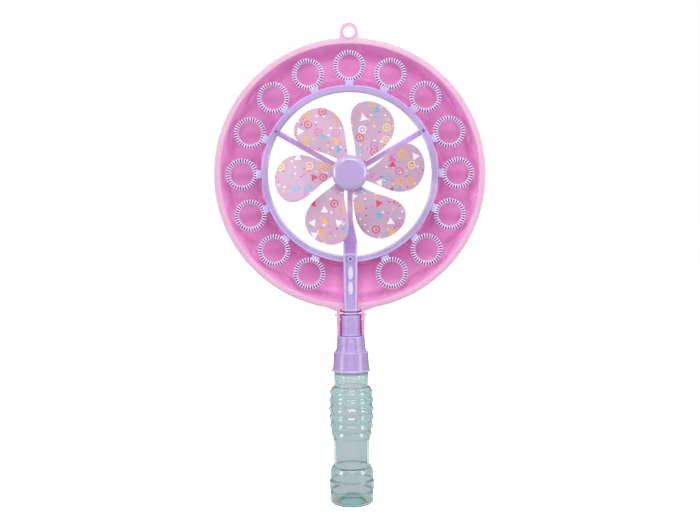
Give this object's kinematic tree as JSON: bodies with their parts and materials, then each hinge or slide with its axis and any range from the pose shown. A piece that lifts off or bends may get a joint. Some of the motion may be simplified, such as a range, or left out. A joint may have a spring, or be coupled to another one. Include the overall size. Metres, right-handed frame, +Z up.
{
  "type": "windmill bubble wand toy",
  "caption": "Bubble wand toy with a pinwheel inside a ring of toothed bubble loops, a round pull-off dipping dish with a hang tab behind it, and a ribbed screw-on bottle as handle.",
  "frame": {"origin": "centre of the bottle's base, on the surface that the toy stands on", "axes": "+Z up along the handle to the hang tab, -Y to the front where the windmill faces, +X to the right seen from the front"},
  "size_m": [0.2296, 0.04, 0.4061],
  "materials": {
    "teal_bottle": "clear, glossy, faintly teal",
    "white_foam": "matte foam",
    "lavender_plastic": "satin moulded",
    "violet_plastic": "satin moulded, slightly translucent",
    "white_plastic": "satin",
    "steel": "bright wire",
    "blush_sheet": "glossy printed sheet",
    "pink_plastic": "satin thin-walled moulding"
  },
  "bodies": {
    "bottle": {"bottle": "teal_bottle"},
    "liner": {"sealing_liner": "white_foam"},
    "wand": {"collar": "lavender_plastic", "stem": "lavender_plastic", "wand_ring": "lavender_plastic", "bubble_loop_01": "lavender_plastic", "bubble_loop_02": "lavender_plastic", "bubble_loop_03": "lavender_plastic", "bubble_loop_04": "lavender_plastic", "bubble_loop_05": "lavender_plastic", "bubble_loop_06": "lavender_plastic", "bubble_loop_07": "lavender_plastic", "bubble_loop_08": "lavender_plastic", "bubble_loop_09": "lavender_plastic", "bubble_loop_10": "lavender_plastic", "bubble_loop_11": "lavender_plastic", "bubble_loop_12": "lavender_plastic", "bubble_loop_13": "lavender_plastic", "bubble_loop_14": "lavender_plastic", "bubble_loop_15": "lavender_plastic", "windmill_spider": "violet_plastic", "spider_pin_1": "lavender_plastic", "spider_pin_2": "lavender_plastic", "spider_pin_3": "lavender_plastic", "axle_pin": "steel", "spacing_washer": "white_plastic"},
    "dish": {"dish": "pink_plastic"},
    "windmill": {"rear_hub": "lavender_plastic", "hub_cap": "lavender_plastic", "blade_1": "blush_sheet", "blade_2": "blush_sheet", "blade_3": "blush_sheet", "blade_4": "blush_sheet", "blade_5": "blush_sheet", "blade_6": "blush_sheet"}
  },
  "joints": [
    {"name": "collar_lift", "type": "slide", "parent": "bottle", "child": "liner", "axis": [0, 0, 1], "range_m": [0, 0.0061]},
    {"name": "collar_turn", "type": "hinge", "parent": "liner", "child": "wand", "pos_m": [0, 0, 0.1255], "axis": [0, 0, 1], "range_deg": [0, 540]},
    {"name": "dish_pull", "type": "slide", "parent": "wand", "child": "dish", "axis": [0, 1, 0], "range_m": [0, 0.045]},
    {"name": "windmill_spin", "type": "hinge", "parent": "wand", "child": "windmill", "pos_m": [0, -0.012, 0.2785], "axis": [0, 1, 0], "continuous": true}
  ],
  "couplings": [
    {"joint": "collar_lift", "follows": "collar_turn", "m_per_rad": 0.00063662}
  ]
}
